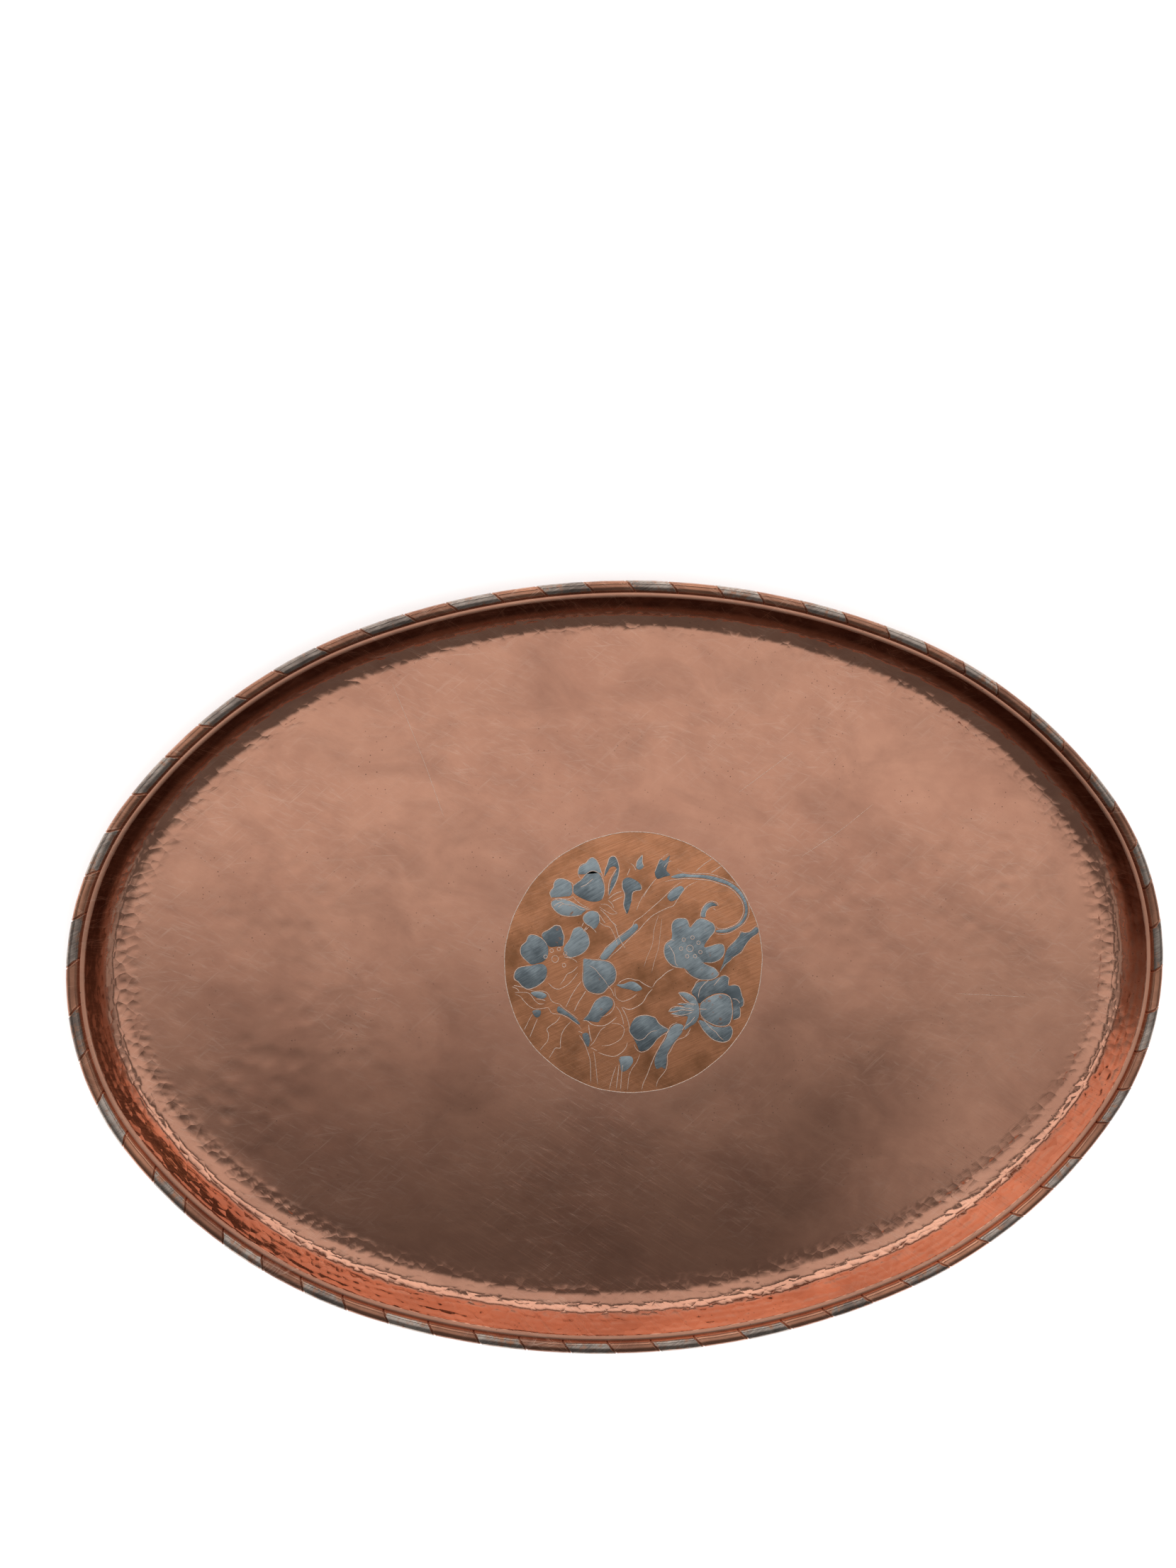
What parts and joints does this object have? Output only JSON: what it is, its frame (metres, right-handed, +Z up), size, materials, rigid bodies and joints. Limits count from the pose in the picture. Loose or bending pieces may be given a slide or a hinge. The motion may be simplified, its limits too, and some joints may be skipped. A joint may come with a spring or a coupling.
{
  "type": "hammered copper tray",
  "caption": "Oval serving tray: a shallow hammered copper dish with a wired edge, tinned rim segments and an engraved, tinned flower medallion.",
  "frame": {"origin": "middle of the tray, on the surface that it rests on", "axes": "+X along the tray's length, +Y towards the top of the flower picture, +Z up"},
  "size_m": [0.6, 0.4181, 0.0263],
  "materials": {
    "copper": null,
    "iron": "plain drawn iron wire, inside the rolled edge",
    "rim_tin": "hot-wiped tin, dull silver, rubbed through to copper in places",
    "medallion_tin": "hot-wiped tin, blue-grey, satin, with fine wipe marks"
  },
  "bodies": {
    "root": {"tray_sheet": "copper", "rim_wire": "iron", "rim_tin_bands": "rim_tin", "tin_upper_blossom": "medallion_tin", "tin_upper_calyx": "medallion_tin", "tin_loop_petal": "medallion_tin", "tin_left_blossom": "medallion_tin", "tin_right_blossom": "medallion_tin", "tin_rose_petals": "medallion_tin", "tin_rose_sepals": "medallion_tin", "tin_rose_stem": "medallion_tin", "tin_upper_leaf": "medallion_tin", "tin_middle_leaf": "medallion_tin", "tin_centre_leaf": "medallion_tin", "tin_lower_leaf": "medallion_tin", "tin_left_bud": "medallion_tin", "tin_right_bud": "medallion_tin", "tin_tendril": "medallion_tin", "tin_hook": "medallion_tin", "tin_twig": "medallion_tin", "tin_branch": "medallion_tin", "tin_trunk": "medallion_tin", "tin_grass": "medallion_tin"}
  },
  "joints": []
}
